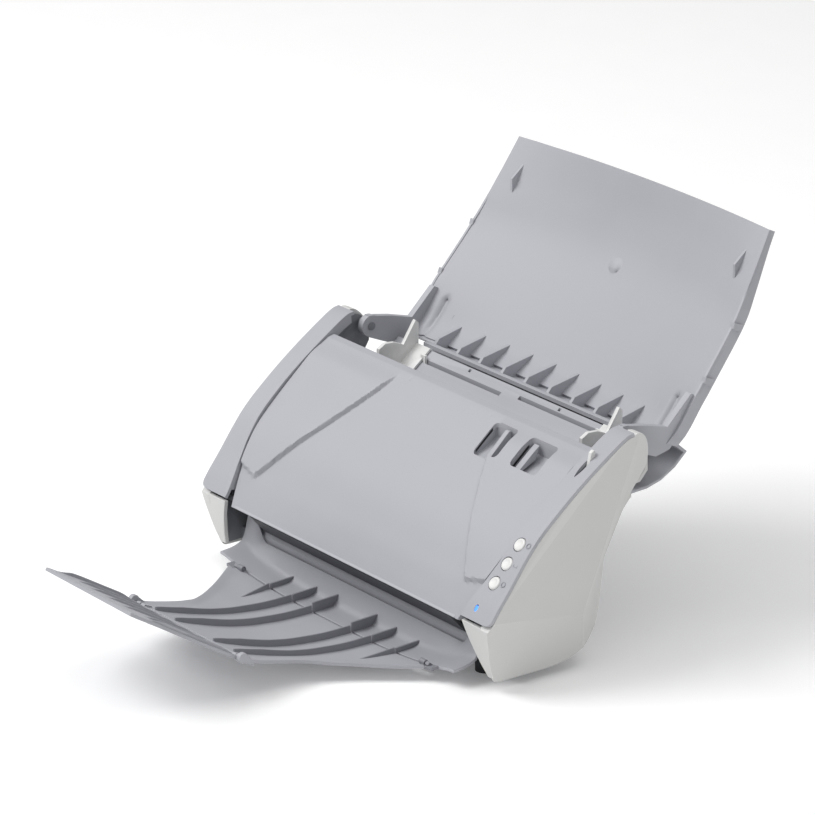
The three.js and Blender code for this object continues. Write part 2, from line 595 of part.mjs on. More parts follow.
function outputTray() {
  const rows = TRAY_ROWS.map(([y, z, rise, half]) => {
    const row = [];
    for (let j = -6; j <= 6; j += 1) {
      const u = j / 6;
      row.push([u * half, y, z + rise * u * u * Math.abs(u)]);
    }
    return row;
  });
  const sheet = sheetUnder(rows.reverse(), TRAY_SHEET);
  const ribLine = TRAY_ROWS.map(([y, z]) => [y, z + 5.4 - Math.max(0, -150 - y) * 0.1]).reverse();
  const ribs = [-45, -22, 22, 45].map((x) => slab(band(ribLine.slice(1), 0, -5.6), x - 1, x + 1));
  const shortRibs = [-71, 71].map((x) => slab([[-66.4, -2.8], [-66.4, 2.4], [-96, -0.4], [-96, -2]], x - 1,
    x + 1));
  const body = unite([sheet].concat(ribs, shortRibs));
  const arms = [-1, 1].map((q) => slab([[-78, 0], [-68.4, 5.2], [-66.8, 5.9], [-64.7, 3.7], [-66.4, -1],
    [-74, -1.6]],
    q > 0 ? 100 : -106, q > 0 ? 106 : -100));
  const knuckles = [-1, 1].map((q) => rod(2.2, q > 0 ? 100 : -106, q > 0 ? 106 : -100, ...OUT_PIVOT, 16));
  const lugs = [-1, 1].map((q) => slab([[-178, 17.4], [-178, 20.4], [-183.6, 23.5], [-185.8, 21.3],
    [-183.6, 19.1]],
    q > 0 ? 50 : -54.5, q > 0 ? 54.5 : -50));
  return cut(unite([body].concat(arms, knuckles, lugs)), [
    rod(1.3, -111, 111, ...OUT_PIVOT, 12),
    rod(1.3, -58, 58, ...EXT_PIVOT, 12),
    block(106, 118, -72, -60, -4.9, 9),
    block(-118, -106, -72, -60, -4.9, 9),
    block(99, 112, -66.1, -60, -6, 0),
    block(-112, -99, -66.1, -60, -6, 0),
  ]);
}
put("output_tray", outputTray(), GREY);

const EXT_LINE = [[-262, 70], [-240, 57], [-215, 41.5], [-183.2, 22]];
function trayExtension() {
  const sheet = slab(band(EXT_LINE, 0, -2.4), -60, 60);
  const area = plan([[60, -182.9], [60, -226], [55, -240], [52, -264], [-52, -264], [-55, -240], [-60, -226],
    [-60, -182.9]], 0, 90);
  const edge = slab(band(EXT_LINE, 1.6, -3.4), -58, -55.6).add(slab(band(EXT_LINE, 1.6, -3.4), 55.6, 58));
  const knuckles = [-1, 1].map((q) => rod(2.2, q > 0 ? 55 : -59, q > 0 ? 59 : -55, ...EXT_PIVOT, 16));
  const pins = [-1, 1].map((q) => rod(1.2, q > 0 ? 49 : -58, q > 0 ? 58 : -49, ...EXT_PIVOT, 12));
  const room = [-1, 1].map((q) => block(q > 0 ? 49.6 : -54.9, q > 0 ? 54.9 : -49.6, -186.4, -180, 10, 30));
  return cut(unite([sheet, edge]).intersect(area), room).add(unite(knuckles.concat(pins)));
}
put("tray_extension", trayExtension(), GREY);

// ---- page guides, rack pinion -------------------------------------------
function pageGuide(sign) {
  const flip = (a, b) => (sign > 0 ? [a, b] : [-b, -a]);
  const wallLine = [[58, 104.4], [67, 111.2], [93.2, 131.8], [93.2, 147.6], [90.6, 150], [80, 134],
    [72, 137.4],
    [64, 138], [58.5, 135]];
  const wall = slab(wallLine, ...flip(GUIDE_WALL, GUIDE_WALL + 3));
  const foot = slab(band([[70, 112.9], [93.2, 131.2]], 0.4, 2), ...flip(95, GUIDE_WALL + 1));
  const yStem = sign > 0 ? [87.3, 89.1] : [84.9, 86.7];
  const stem = block(...flip(92, 97), yStem[0], yStem[1], 111.5, 129.4);
  const tab = block(...flip(92, 96), sign > 0 ? 87.3 : 78.4, sign > 0 ? 92 : 86.7, 111.5, 114.5);
  const rackY = sign > 0 ? [88.5, 92] : [78.4, 81.9];
  const rack = block(...flip(-8, 96), rackY[0], rackY[1], 111.5, 114.5);
  return unite([wall, foot, stem, tab, rack]);
}
put("page_guide_left", pageGuide(-1), WHITE);
put("page_guide_right", pageGuide(1), WHITE);
// pinion with a thin flange under the racks
put("guide_pinion", stub(3.1, 4, 0, [85.2, 113], [0, 1], 16).add(stub(8, 2, 0, [85.2, 110], [0, 1], 24)),
  BRASS);

// ---- controls -----------------------------------------------------------
function button(i) {
  const [y, z] = BUTTON_YZ[i];
  const n = [-0.74, 0.67];
  return stub(5.4, 5, BUTTON_X, [y - n[0] * 1.2, z - n[1] * 1.2], n, 24);
}
put("button_stop", button(0), WHITE);
put("button_mode", button(1), WHITE);
put("button_start", button(2), WHITE);
put("led_lens", slab([[-55.4, 49.6], [-52.9, 53.2], [-51.4, 51.6], [-53.6, 48.2]], 140, 146), BLUE);
put("feed_selector", slab([[30.6, 128], [36, 132], [37, 143.8], [33.6, 142.4], [30.6, 131]], 149.8, 153.2),
  WHITE);

// ---- feet ---------------------------------------------------------------
function foot(x, y) {
  const g = new THREE.CylinderGeometry(7, 7, 9.3, 20);
  g.rotateX(Math.PI / 2);
  g.translate(x, y, -1.75);
  return toManifold(g);
}
put("foot_front_left", foot(-120, -28), RUBBER);
put("foot_front_right", foot(120, -28), RUBBER);
put("foot_rear_left", foot(-120, 22), RUBBER);
put("foot_rear_right", foot(120, 22), RUBBER);

// the origin is the middle of the overall footprint, on the table
const bounds = new THREE.Box3().setFromObject(group);
const middle = bounds.getCenter(new THREE.Vector3());
group.children.forEach((mesh) => mesh.geometry.translate(-middle.x, -middle.y, -bounds.min.z));

export default group;
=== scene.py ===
import json
import math
import bmesh
import bpy
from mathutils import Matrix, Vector


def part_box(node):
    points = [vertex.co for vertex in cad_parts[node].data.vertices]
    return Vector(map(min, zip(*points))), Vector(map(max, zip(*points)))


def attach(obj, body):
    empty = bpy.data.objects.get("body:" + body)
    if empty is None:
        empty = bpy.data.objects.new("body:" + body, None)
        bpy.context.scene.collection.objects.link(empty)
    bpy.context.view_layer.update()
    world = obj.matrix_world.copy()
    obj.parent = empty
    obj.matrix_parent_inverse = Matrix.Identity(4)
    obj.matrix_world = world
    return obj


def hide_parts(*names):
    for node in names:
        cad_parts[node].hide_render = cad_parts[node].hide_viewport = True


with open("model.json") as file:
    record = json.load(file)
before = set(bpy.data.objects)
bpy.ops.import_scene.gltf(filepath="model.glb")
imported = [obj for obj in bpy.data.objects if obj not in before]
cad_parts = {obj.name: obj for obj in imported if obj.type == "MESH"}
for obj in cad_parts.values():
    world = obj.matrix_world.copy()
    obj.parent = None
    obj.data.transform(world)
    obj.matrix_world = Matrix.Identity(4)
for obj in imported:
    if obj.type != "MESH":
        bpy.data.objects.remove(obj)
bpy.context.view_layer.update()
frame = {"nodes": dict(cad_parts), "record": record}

MM = 0.001
PINION_Y = 85.2                 # the guide pinion's place in the design
low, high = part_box("guide_pinion")
# from the design's origin to the frame's, mm
DY = (low.y + high.y) / 2 / MM - PINION_Y
FOOT_Z = -6.4                   # underside of the feet
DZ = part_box("foot_front_left")[0].z / MM - FOOT_Z
BODY = {n: b for b, nodes in frame["record"]["behaviour"]["bodies"].items() for n in nodes}
SLOT = {s["node"]: s["material_slot"] for s in frame["record"]["subparts"]}


# hinge lines, design y and z
COVER_PIVOT = (-49, 41)
TRAY_PIVOT = (72, 142)
OUT_PIVOT = (-66.8, 3.7)
EXT_PIVOT = (-183.6, 21.3)


def place(x, y, z):
    """Metres in the frame from design millimetres."""
    return Vector((x * MM, (y + DY) * MM, (z + DZ) * MM))


# ---- finishes -------------------------------------------------------------
def finish(name, rgb, rough, grain=1400.0, bump=0.12, vary=0.05, wear_and_highlight=0.25, metal=0.0, **extra):
    m = bpy.data.materials.new(name)
    m.use_nodes = True
    tree = m.node_tree
    n, link = tree.nodes, tree.links
    bsdf = n["Principled BSDF"]
    bsdf.inputs["Metallic"].default_value = metal
    for key, value in extra.items():
        bsdf.inputs[key.replace("_", " ")].default_value = value
    coord = n.new("ShaderNodeTexCoord")
    broad = n.new("ShaderNodeTexNoise")
    broad.inputs["Scale"].default_value = 22.0
    broad.inputs["Detail"].default_value = 4.0
    fine = n.new("ShaderNodeTexNoise")
    fine.inputs["Scale"].default_value = grain
    fine.inputs["Detail"].default_value = 3.0
    link.new(coord.outputs["Object"], broad.inputs["Vector"])
    link.new(coord.outputs["Object"], fine.inputs["Vector"])
    tone = n.new("ShaderNodeValToRGB")
    dark = [c * (1 - vary) for c in rgb]
    light = [min(1, c * (1 + vary)) for c in rgb]
    tone.color_ramp.elements[0].position = 0.3
    tone.color_ramp.elements[1].position = 0.7
    tone.color_ramp.elements[0].color = (*dark, 1)
    tone.color_ramp.elements[1].color = (*light, 1)
    link.new(broad.outputs["Fac"], tone.inputs["Fac"])
    # convex edges painted lighter by pointiness: partly rubbed wear, partly a painted highlight along ridges
    geo = n.new("ShaderNodeNewGeometry")
    edge = n.new("ShaderNodeMapRange")
    edge.inputs["From Min"].default_value = 0.53
    edge.inputs["From Max"].default_value = 0.62
    edge.inputs["To Max"].default_value = wear_and_highlight
    link.new(geo.outputs["Pointiness"], edge.inputs["Value"])
    rub_and_highlight = n.new("ShaderNodeMix")
    rub_and_highlight.data_type = "RGBA"
    rub_and_highlight.inputs["B"].default_value = (*[min(1, c * 1.25 + 0.03) for c in rgb], 1)
    link.new(edge.outputs["Result"], rub_and_highlight.inputs["Factor"])
    link.new(tone.outputs["Color"], rub_and_highlight.inputs["A"])
    link.new(rub_and_highlight.outputs["Result"], bsdf.inputs["Base Color"])
    gloss = n.new("ShaderNodeMapRange")
    gloss.inputs["To Min"].default_value = max(0.02, rough - 0.06)
    gloss.inputs["To Max"].default_value = rough + 0.06
    link.new(broad.outputs["Fac"], gloss.inputs["Value"])
    link.new(gloss.outputs["Result"], bsdf.inputs["Roughness"])
    relief = n.new("ShaderNodeBump")
    relief.inputs["Strength"].default_value = bump
    relief.inputs["Distance"].default_value = 0.0002
    link.new(fine.outputs["Fac"], relief.inputs["Height"])
    link.new(relief.outputs["Normal"], bsdf.inputs["Normal"])
    return m


LOOK = {
    "grey_plastic": finish("grey_satin", (0.40, 0.405, 0.437), 0.5, vary=0.015),
    "pale_plastic": finish("pale_satin", (0.64, 0.64, 0.628), 0.42, vary=0.012),
    "white_plastic": finish("white_smooth", (0.74, 0.74, 0.73), 0.35, bump=0.05, vary=0.01),
    "dark_plastic": finish("dark_matt", (0.05, 0.052, 0.058), 0.6),
    "rubber": finish("ground_rubber", (0.022, 0.023, 0.026), 0.85, grain=2600, bump=0.4),
    "steel": finish("turned_steel", (0.55, 0.56, 0.58), 0.3, metal=1.0, grain=2400, bump=0.05),
    "tin_plate": finish("plated_tin", (0.48, 0.49, 0.5), 0.36, metal=1.0, bump=0.05),
    "brass": finish("turned_brass", (0.6, 0.46, 0.22), 0.3, metal=1.0, bump=0.05),
    "glass": finish("clear_glass", (0.7, 0.8, 0.82), 0.06, bump=0.0, vary=0.01, wear_and_highlight=0.0,
                    Transmission_Weight=0.9),
    "circuit_board": finish("solder_resist", (0.03, 0.13, 0.06), 0.4, grain=700, bump=0.2, vary=0.15),
    "led_blue": finish("blue_lens", (0.1, 0.32, 0.95), 0.2, bump=0.0, wear_and_highlight=0.0,
                       Emission_Strength=0.8, Emission_Color=(0.08, 0.3, 1.0, 1)),
}
MARK = finish("icon_grey", (0.27, 0.275, 0.31), 0.55, wear_and_highlight=0.0)
SHADE = finish("mid_grey_satin", (0.2, 0.205, 0.225), 0.55)
# the grey plastic painted darker: painted shade for rib flanks, hinge knuckles and arms
RIB_PAINTED_SHADE = finish("rib_grey_painted_shade", (0.25, 0.252, 0.28), 0.5, vary=0.015)

for name, node in frame["nodes"].items():
    node.data.materials.clear()
    node.data.materials.append(LOOK[SLOT[name]])


# ---- mesh helpers -----------------------------------------------------------
def smooth_line(points, step=2.0):
    """Catmull-Rom curve through the points, at about one point a step."""
    out = []
    p = [points[0]] + list(points) + [points[-1]]
    for i in range(1, len(p) - 2):
        a, b, c, d = p[i - 1], p[i], p[i + 1], p[i + 2]
        n = max(1, round(math.dist(b, c) / step))
        for k in range(n):
            t = k / n
            out.append(tuple(
                0.5 * ((2 * b[j]) + (c[j] - a[j]) * t + (2 * a[j] - 5 * b[j] + 4 * c[j] - d[j]) * t * t
                       + (3 * b[j] - a[j] - 3 * c[j] + d[j]) * t ** 3) for j in range(len(b))))
    out.append(tuple(points[-1]))
    return out


def lerp_table(table, v):
    """Straight lines between the pairs of a table, held level past both ends."""
    if v <= table[0][0]:
        return table[0][1]
    for (a, fa), (b, fb) in zip(table, table[1:]):
        if v <= b:
            return fa + (fb - fa) * (v - a) / (b - a)
    return table[-1][1]


def step01(v):
    """Soft step from 0 to 1."""
    v = min(1.0, max(0.0, v))
    return v * v * (3 - 2 * v)


def add_piece(name, bm, body, slot, material=None, bevel=0.4, replaces=(), segments=2, angle=32):
    """A named piece from bm, edges rounded by bevel mm where they turn more than angle degrees."""
    bmesh.ops.remove_doubles(bm, verts=bm.verts, dist=1e-6)
    bmesh.ops.recalc_face_normals(bm, faces=bm.faces)
    mesh = bpy.data.meshes.new(name)
    bm.to_mesh(mesh)
    bm.free()
    obj = bpy.data.objects.new(name, mesh)
    bpy.context.scene.collection.objects.link(obj)
    mesh.materials.append(material or LOOK[slot])
    for poly in mesh.polygons:
        poly.use_smooth = True
    if bevel:
        mod = obj.modifiers.new("round", "BEVEL")
        mod.width = bevel * MM
        mod.segments = segments
        mod.limit_method = "ANGLE"
        mod.angle_limit = math.radians(angle)
        mod.harden_normals = True
        mod.use_clamp_overlap = True
    else:
        mesh.set_sharp_from_angle(angle=math.radians(angle))
    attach(obj, body)
    if replaces:
        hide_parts(*replaces)
    return obj


def refine(node, bevel=0.4, angle=32, material=None):
    """A rounded copy of a CAD node, standing for it."""
    bm = bmesh.new()
    bm.from_mesh(frame["nodes"][node].data)
    bmesh.ops.remove_doubles(bm, verts=bm.verts, dist=1e-6)
    bmesh.ops.dissolve_limit(bm, angle_limit=math.radians(0.6), verts=bm.verts, edges=bm.edges)
    return add_piece(node + "_shell", bm, BODY[node], SLOT[node], material, bevel, (node,), angle=angle)


def loft(rows):
    """Closed solid from equal rings of points."""
    bm = bmesh.new()
    rings = [[bm.verts.new(place(*p)) for p in ring] for ring in rows]
    for a, b in zip(rings, rings[1:]):
        n = len(a)
        for i in range(n):
            j = (i + 1) % n
            bm.faces.new((a[i], a[j], b[j], b[i]))
    bm.faces.new(rings[0])
    bm.faces.new(list(reversed(rings[-1])))
    return bm


def prism_x(outline, x0, x1):
    """A y z outline drawn out along X."""
    return loft([[(x0, y, z) for y, z in outline], [(x1, y, z) for y, z in outline]])


def plate(top, thick, base=None):
    """Closed plate under a grid of design points.

    The underside lies thick below the grid, or below the smooth base grid, along its normal.
    """
    bm = bmesh.new()
    rows, cols = len(top), len(top[0])
    pts = [[Vector(p) for p in row] for row in top]
    core = [[Vector(p) for p in row] for row in base or top]
    under = []
    for i in range(rows):
        line = []
        for j in range(cols):
            du = core[min(i + 1, rows - 1)][j] - core[max(i - 1, 0)][j]
            dv = core[i][min(j + 1, cols - 1)] - core[i][max(j - 1, 0)]
            n = dv.cross(du)
            n.normalize()
            t = thick(i, j) if callable(thick) else thick
            line.append(core[i][j] - n * t)
        under.append(line)
    a = [[bm.verts.new(place(*p)) for p in row] for row in pts]
    b = [[bm.verts.new(place(*p)) for p in row] for row in under]
    for i in range(rows - 1):
        for j in range(cols - 1):
            bm.faces.new((a[i][j], a[i][j + 1], a[i + 1][j + 1], a[i + 1][j]))
            bm.faces.new((b[i][j], b[i + 1][j], b[i + 1][j + 1], b[i][j + 1]))
    for i in range(rows - 1):
        bm.faces.new((a[i][0], a[i + 1][0], b[i + 1][0], b[i][0]))
        bm.faces.new((a[i][-1], b[i][-1], b[i + 1][-1], a[i + 1][-1]))
    for j in range(cols - 1):
        bm.faces.new((a[0][j], b[0][j], b[0][j + 1], a[0][j + 1]))
        bm.faces.new((a[-1][j], a[-1][j + 1], b[-1][j + 1], b[-1][j]))
    return bm


# ---- camera, floor and light ---------------------------------------------------
LENS = 216.204957       # mm, on a sensor SENSOR mm wide
SENSOR = 36
CAMERA_AT = (2455.83, -1885.48, 1282.60)
CAMERA_AIM = (-0.74408, 0.57096, -0.34694)
cam_data = bpy.data.cameras.new("camera")
cam_data.lens = LENS
cam_data.sensor_width = SENSOR
cam_data.clip_end = 50
camera = bpy.data.objects.new("camera", cam_data)
bpy.context.scene.collection.objects.link(camera)
camera.location = place(*CAMERA_AT)
camera.rotation_euler = Vector(CAMERA_AIM).to_track_quat("-Z", "Y").to_euler()
bpy.context.scene.camera = camera

floor_mesh = bpy.data.meshes.new("floor")
floor_mesh.from_pydata([(-9, -9, 0), (9, -9, 0), (9, 9, 0), (-9, 9, 0)], [], [(0, 1, 2, 3)])
floor = bpy.data.objects.new("floor", floor_mesh)
bpy.context.scene.collection.objects.link(floor)
floor_mesh.materials.append(finish("pale_floor", (0.95, 0.95, 0.95), 0.9, bump=0.0, vary=0.005, wear_and_highlight=0.0,
                                   Emission_Strength=0.12, Emission_Color=(1, 1, 1, 1)))

world = bpy.data.worlds.new("studio")
bpy.context.scene.world = world
world.use_nodes = True
sky = world.node_tree.nodes["Background"]
sky.inputs["Color"].default_value = (1, 1, 1, 1)
sky.inputs["Strength"].default_value = 0.33


def softbox(name, at, aim, size, power):
    data = bpy.data.lights.new(name, "AREA")
    data.shape = "RECTANGLE"
    data.size, data.size_y = size
    data.energy = power
    obj = bpy.data.objects.new(name, data)
    obj.location = at
    obj.rotation_euler = (Vector(aim) - Vector(at)).to_track_quat("-Z", "Y").to_euler()
    bpy.context.scene.collection.objects.link(obj)


softbox("key", (-1.5, -1.6, 2.6), (0, 0, 0.1), (2.0, 2.0), 79)
softbox("top", (0.3, 0.4, 3.0), (0, 0, 0.1), (2.5, 2.5), 28)
softbox("side", (3.0, -0.6, 1.4), (0, 0, 0.1), (1.8, 1.4), 6)
bpy.context.scene.view_settings.view_transform = "Standard"

# ---- joining and cutting --------------------------------------------------------
def span(side, a, b):
    """The x range from a to b on one side of the middle, low end first."""
    return sorted((side * a, side * b))


def merged(*parts):
    """All the parts in one mesh."""
    bm = bmesh.new()
    for part in parts:
        mesh = bpy.data.meshes.new("part")
        part.to_mesh(mesh)
        part.free()
        bm.from_mesh(mesh)
        bpy.data.meshes.remove(mesh)
    return bm


def carve(bm, cutters, operation="DIFFERENCE"):
    """bm cut by, or joined with, closed solids."""
    def as_object(b):
        bmesh.ops.remove_doubles(b, verts=b.verts, dist=1e-6)
        bmesh.ops.recalc_face_normals(b, faces=b.faces)
        mesh = bpy.data.meshes.new("tool")
        b.to_mesh(mesh)
        b.free()
        obj = bpy.data.objects.new("tool", mesh)
        bpy.context.scene.collection.objects.link(obj)
        return obj
    base = as_object(bm)
    tools = [as_object(c) for c in cutters]
    for tool in tools:
        mod = base.modifiers.new("cut", "BOOLEAN")
        mod.object = tool
        mod.operation = operation
        mod.solver = "EXACT"
    result = base.evaluated_get(bpy.context.evaluated_depsgraph_get())
    out = bmesh.new()
    out.from_mesh(result.to_mesh())
    result.to_mesh_clear()
    for obj in [base] + tools:
        mesh = obj.data
        bpy.data.objects.remove(obj)
        bpy.data.meshes.remove(mesh)
    return out


def pin_x(radius, x0, x1, y, z, sides=40):
    """A round bar along X."""
    ring = [(y + radius * math.cos(2 * math.pi * k / sides), z + radius * math.sin(2 * math.pi * k / sides))
            for k in range(sides)]
    return prism_x(ring, x0, x1)


def pin_dir(radius, x, at, direction, back, ahead, sides=40):
    """A round bar at x, through the y z point at, along a y z direction."""
    n = Vector((0, direction[0], direction[1])).normalized()
    u = Vector((1, 0, 0))
    v = n.cross(u)
    rows = []
    for t in (-back, ahead):
        c = Vector((x, at[0], at[1])) + n * t
        rows.append([tuple(c + u * radius * math.cos(2 * math.pi * k / sides)
                           + v * radius * math.sin(2 * math.pi * k / sides)) for k in range(sides)])
    return loft(rows)


def offset_line(line, d):
    """The line moved d to its left."""
    out = []
    for i, p in enumerate(line):
        a = line[max(0, i - 1)]
        b = line[min(len(line) - 1, i + 1)]
        ty, tz = b[0] - a[0], b[1] - a[1]
        length = math.hypot(ty, tz)
        out.append((p[0] - tz / length * d, p[1] + ty / length * d))
    return out


def strip_of(line, a, b, x0, x1):
    """A band along a y z line, from a to b off it."""
    return prism_x(offset_line(line, a) + offset_line(line, b)[::-1], x0, x1)


# ---- feed tray -----------------------------------------------------------------------
TRAY_CENTRE = [(127.6, 112.8), (132, 119.5), (137, 127.4), (161, 151.5), (200, 182), (231, 198), (260.5, 207)]
TRAY_SIDE = [(127.6, 109.8), (131, 113), (140, 121), (158, 134), (198, 167), (222, 182), (260.5, 206)]
TRAY_WIDTH = [(127, 142.5), (134, 144), (160, 144.2), (198, 141.3), (230, 137.4), (262, 133.4)]
TRAY_SPLINE_C = smooth_line(TRAY_CENTRE, 3)
TRAY_SPLINE_S = smooth_line(TRAY_SIDE, 3)


def tray_point(x, z):
    """Design y of the feed tray's front face."""
    w = min(1.0, (abs(x) / 141) ** 2)
    y = lerp_table(TRAY_SPLINE_C, z) * (1 - w) + lerp_table(TRAY_SPLINE_S, z) * w
    return y


def tray_panel():
    """The feed tray's curved panel with its grooves and boss."""
    rows = []
    for i in range(89):
        t = i / 88
        row = []
        for j in range(193):
            u = -1 + 2 * j / 192
            top = 256.7 + 2.6 * (1 - u * u)
            z = 128.0 + (top - 128.0) * t
            x = u * lerp_table(TRAY_WIDTH, z)
            y = tray_point(x, z)
            # long rounded grooves near the foot
            along = max(abs(z - 141) - 9, 0)
            near = math.hypot(abs(x) - 126, along) - 3.0
            y += 2.6 * (1 - step01(near / 1.4 + 0.5))
            # round boss in the middle
            boss = math.hypot(x, (z - 200) * 1.3)
            y -= 1.5 * (1 - step01((boss - 4.2) / 2.2 + 0.5))
            row.append((x, y, z))
        rows.append(row)
    return plate(rows, -2.6)


def tray_foot():
    """The curved foot under the panel."""
    line = smooth_line([(93.8, 134.4), (98, 134), (102.5, 131.6), (108, 128.6), (113.4, 128.0)], 1.2)
    return strip_of(line, 0, -2.8, -105, 105)


FIN_X = 119.5


def fin_at(z):
    """Design y of the panel under the small fins near its top."""
    return tray_point(FIN_X, z)


parts = [tray_foot()]
for i in range(-4, 5):
    x = i * 25
    tip = 131.0 - 6.0 * (abs(x) / 100) ** 2
    parts.append(prism_x([(98.6, 131.6), (103.0, 136.6), (tip, 141.4), (tip + 2, 141.6), (113.6, 126.4)],
                         x - 1.3, x + 1.3))
for side in (-1, 1):
    fin = [(fin_at(217) + 0.8, 217), (fin_at(233) - 8.4, 233.5), (fin_at(246) - 0.2, 246),
           (fin_at(246) + 1.5, 246.4), (fin_at(217) + 1.5, 217)]
    parts.append(prism_x(fin, side * FIN_X - 1.0, side * FIN_X + 1.0))
    rim = []
    for k in range(60):
        z = 128.0 + k * (257 - 128.0) / 59
        w = lerp_table(TRAY_WIDTH, z)
        y = tray_point(w, z)
        h = 2.4 * (1 - step01((z - 200) / 45)) + 0.5
        deep = 3.4 * (1 - step01((z - 205) / 50)) + 2.4
        rim.append([(side * (w - 1.9), y - h, z + h * 0.45), (side * w, y - h, z + h * 0.45),
                    (side * w, y + deep, z - deep * 0.5), (side * (w - 1.9), y + deep, z - deep * 0.5)])
    parts.append(loft(rim))
    for z in (166, 198):
        w = lerp_table(TRAY_WIDTH, z)
        y = tray_point(w, z)
        parts.append(prism_x([(y - 3.6, z), (y - 2, z + 4), (y + 5, z + 1), (y + 3, z - 4)],
                             *sorted((side * (w - 2.4), side * (w + 1.3)))))
    ear = [(70, 134), (98, 122), (110, 124.5), (118, 132), (134, 157),
           (128, 160), (108, 141), (90, 146), (70, 150)]
    bracket = prism_x(ear, *span(side, 136.9, 142.1))
    knuckle = pin_x(7.8, *span(side, 136.9, 142.1), *TRAY_PIVOT)
    parts.append(carve(bracket, [knuckle], "UNION"))
add_piece("feed_tray_details", merged(*parts), "feed_tray", "grey_plastic", bevel=0.45)
add_piece("feed_tray_panel", tray_panel(), "feed_tray", "grey_plastic", bevel=0.5, replaces=["feed_tray"],
          angle=50)

# bridges between the panel and the foot brackets, seen from the side and from behind
parts = []
for side in (-1, 1):
    xs = span(side, 106, 137.5)
    bar = [(108.4, 127.8), (113, 131.4), (116.4, 134.4), (118.6, 133.2), (114.6, 126.8), (110, 125.6)]
    parts.append(prism_x(bar, *xs))
    for x in (112, 122, 132):
        parts.append(prism_x([(110, 126.4), (116, 133), (126, 146), (129, 145), (118, 128.6), (113, 125.2)],
                             side * x - 0.8, side * x + 0.8))
add_piece("feed_tray_brackets", merged(*parts), "feed_tray", "grey_plastic", bevel=0.3)

# ---- front cover -----------------------------------------------------------------------
# skin line in y z, half width against y, where the raised wings begin against y
COVER = smooth_line([(-57.5, 39.5), (-51, 50), (-41, 64), (-19.5, 89.5),
                     (17, 121.5), (36.5, 137.4), (40.5, 139.6), (44, 140.4)], 1.3)
COVER_EDGE = [(-64, 124), (-57, 127.5), (-50, 131.6), (-41, 136.4),
              (-30, 140.2), (-18, 142.4), (10, 143.4), (70, 143.6)]
WING = [(-43.5, 118), (-38, 112), (-26, 100), (-8, 84.5), (10, 71.5), (24, 62.5), (32, 58.5), (38, 57)]
EDGE_LINE = smooth_line(COVER_EDGE, 3)
WING_LINE = smooth_line(WING, 3)


def cover_grid():
    """The front cover's skin, with a raised wing on each side and two dimples."""
    rows, smooth = [], []
    for i, (y, z) in enumerate(COVER):
        a = COVER[max(0, i - 1)]
        b = COVER[min(len(COVER) - 1, i + 1)]
        ty, tz = b[0] - a[0], b[1] - a[1]
        length = math.hypot(ty, tz)
        ny, nz = -tz / length, ty / length
        half = lerp_table(EDGE_LINE, y)
        rise = 2.8 * (1 - step01((y - 24) / 15))
        row = []
        for j in range(321):
            x = (-1 + 2 * j / 320) * half
            side = step01((abs(x) - lerp_table(WING_LINE, y)) / 1.5 + 0.5)
            foot = -43.5 + 3.5 * (abs(x) - 118) / 22
            lower = step01((y - foot) / 1.5 + 0.5)
            h = rise * side * lower
            dimple = min(math.hypot(abs(x) - 45, (y - 35.6)), 3)
            h -= 0.5 * (1 - step01((dimple - 0.6) / 0.8 + 0.5))
            row.append((x, y + ny * h, z + nz * h))
        rows.append(row)
        smooth.append([(p[0], y, z) for p in row])
    return plate(rows, 2.6, smooth)


def rounded_box(x0, x1, y0, y1, z0, z1, r, sides=6):
    """An upright box with round corners."""
    ring = []
    corners = ((x1 - r, y1 - r, 0), (x0 + r, y1 - r, 90), (x0 + r, y0 + r, 180), (x1 - r, y0 + r, 270))
    for cx, cy, a0 in corners:
        for k in range(sides + 1):
            a = math.radians(a0 + 90 * k / sides)
            ring.append((cx + r * math.cos(a), cy + r * math.sin(a)))
    return loft([[(x, y, z0) for x, y in ring], [(x, y, z1) for x, y in ring]])


WELLS = [(53, 78), (92, 120)]
cover = carve(cover_grid(), [rounded_box(a, b, 12.5, 33.6, 100, 160, 3.2) for a, b in WELLS])
liner = []
for a, b in WELLS:
    outer = prism_x([(6, 111), (10, 114.6), (36, 136.6), (36, 130), (33, 119), (20, 108)], a - 2, b + 2)
    inner = prism_x([(12.4, 160), (12.4, 114), (29.5, 121.2), (33.7, 125), (33.7, 160)], a, b)
    liner.append(carve(outer, [inner]))
liner.append(prism_x([(13, 113), (30, 120), (32.6, 133.8), (30.8, 134), (13, 117.6)], 66.3, 70.3))
cover_lip = prism_x([(44, 140.4), (45.6, 138.4), (46.4, 133), (43.8, 133), (42, 137.8)], -141, 141)
SKIRT = [(-52, 40), (-56, 40), (-50, 50.2), (-38.5, 64), (-19, 87.4), (12, 114.6), (42, 138.6),
         (42, 131), (16, 110), (-16, 80), (-46, 46)]
skirts = [prism_x(SKIRT, *span(s, 121.6, 123.9)) for s in (-1, 1)]
toe = prism_x([(-57.9, 39.9), (-54.6, 38), (-44, 35.8), (-44, 38.2), (-53, 40.6), (-54.5, 43)], -124, 124)
ears = [pin_x(5.9, *span(s, 116.1, 120.5), *COVER_PIVOT) for s in (-1, 1)]
add_piece("front_cover_shell", cover, "front_cover", "grey_plastic", bevel=0.5, replaces=["front_cover"],
          angle=40)
add_piece("front_cover_inside", merged(*liner, cover_lip, toe, *skirts, *ears), "front_cover",
          "grey_plastic", bevel=0.35)

# ---- side covers ---------------------------------------------------------------------------
STRIP = smooth_line([(-59, 45), (-52, 55), (-43, 66.5), (-23, 92.5),
                     (-3.5, 110.5), (22, 130), (52, 149.6), (62, 153)], 1.5)
# a point and the outward normal of the two planes that give a side cover its facets
FACETS = (((161.9, -59, 47), (0.981, -0.028, -0.19)), ((161, 38, 72), (0.939, 0.32, -0.129)))


